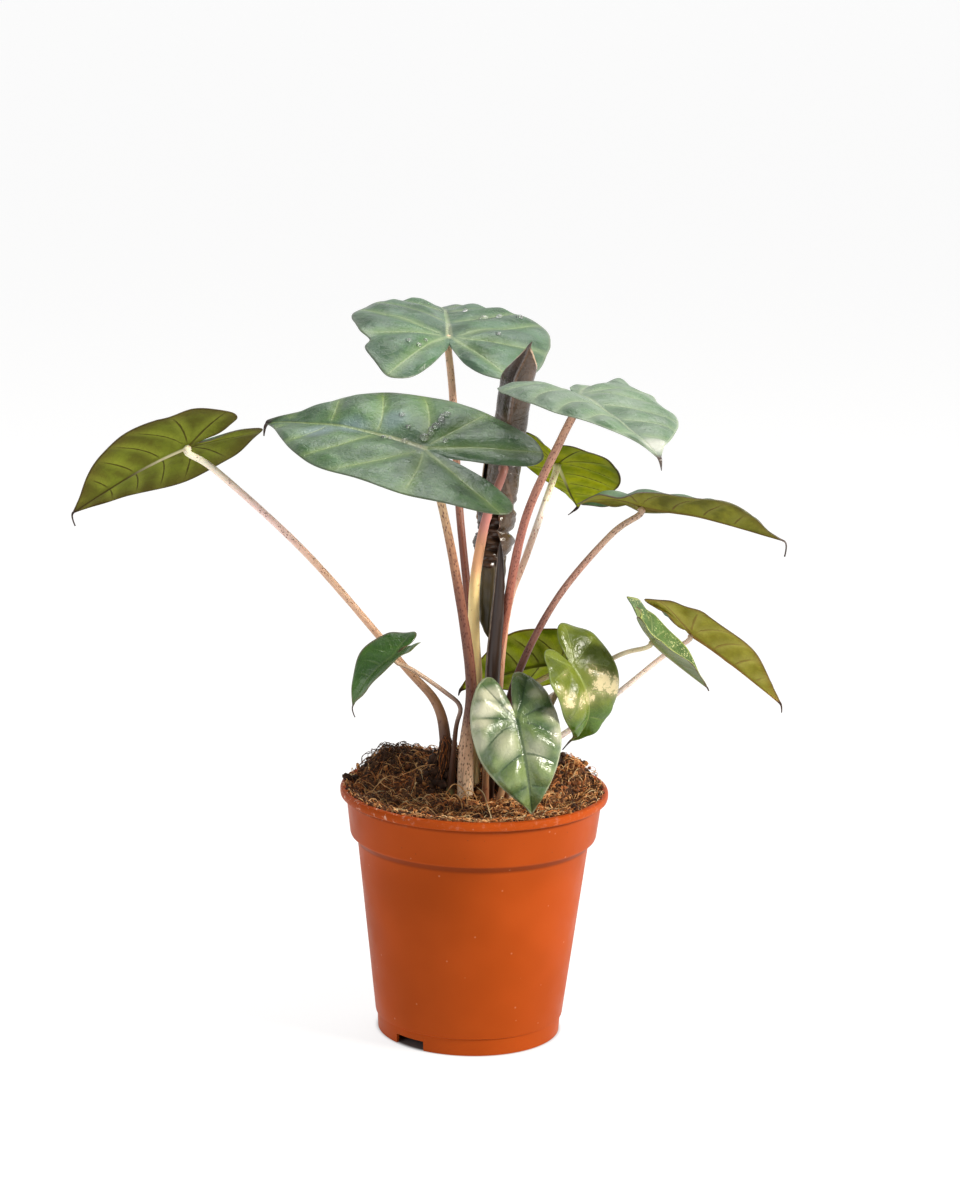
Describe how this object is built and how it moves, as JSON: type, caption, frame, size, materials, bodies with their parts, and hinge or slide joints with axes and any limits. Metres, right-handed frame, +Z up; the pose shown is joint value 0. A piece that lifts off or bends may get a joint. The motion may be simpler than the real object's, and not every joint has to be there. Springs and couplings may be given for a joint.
{
  "type": "potted alocasia plant",
  "caption": "Bushy arrow-leaved alocasia: bending heart-shaped blades with drip tips on slender upright stalks, with rolled young growth, in soil in a round collared nursery pot.",
  "frame": {"origin": "middle of the pot's base, on the ground, on the pot's axis", "axes": "+Z up along the pot's axis, -Y the front that the picture shows, +X to its right"},
  "size_m": [0.3209, 0.2605, 0.3157],
  "materials": {
    "pot": "satin",
    "soil": "matte",
    "olive_blade": "satin",
    "grey_green_blade": "satin",
    "bright_blade": "satin",
    "fresh_blade": "satin",
    "dark_blade": "satin",
    "bronze_blade": "gloss",
    "pink_stalk": "satin",
    "red_stalk": "satin",
    "tan_stalk": "satin",
    "yellow_stalk": "satin"
  },
  "bodies": {
    "root": {"pot": "pot", "soil": "soil", "leaf_far_left_blade": "olive_blade", "leaf_broad_left_blade": "grey_green_blade", "leaf_top_blade": "grey_green_blade", "leaf_upper_right_blade": "grey_green_blade", "leaf_back_right_blade": "bright_blade", "leaf_right_blade": "olive_blade", "leaf_low_right_blade": "olive_blade", "leaf_front_blade": "fresh_blade", "leaf_small_right_blade": "fresh_blade", "leaf_inner_right_blade": "fresh_blade", "leaf_inner_back_blade": "bright_blade", "leaf_small_left_blade": "dark_blade", "rolled_leaf_blade": "bronze_blade", "spear": "bronze_blade", "leaf_far_left_petiole": "pink_stalk", "leaf_broad_left_petiole": "tan_stalk", "leaf_top_petiole": "red_stalk", "leaf_upper_right_petiole": "red_stalk", "leaf_back_right_petiole": "pink_stalk", "leaf_right_petiole": "red_stalk", "leaf_low_right_petiole": "pink_stalk", "leaf_front_petiole": "tan_stalk", "leaf_small_right_petiole": "pink_stalk", "leaf_inner_right_petiole": "pink_stalk", "leaf_inner_back_petiole": "tan_stalk", "leaf_small_left_petiole": "red_stalk", "rolled_leaf_petiole": "yellow_stalk"}
  },
  "joints": []
}
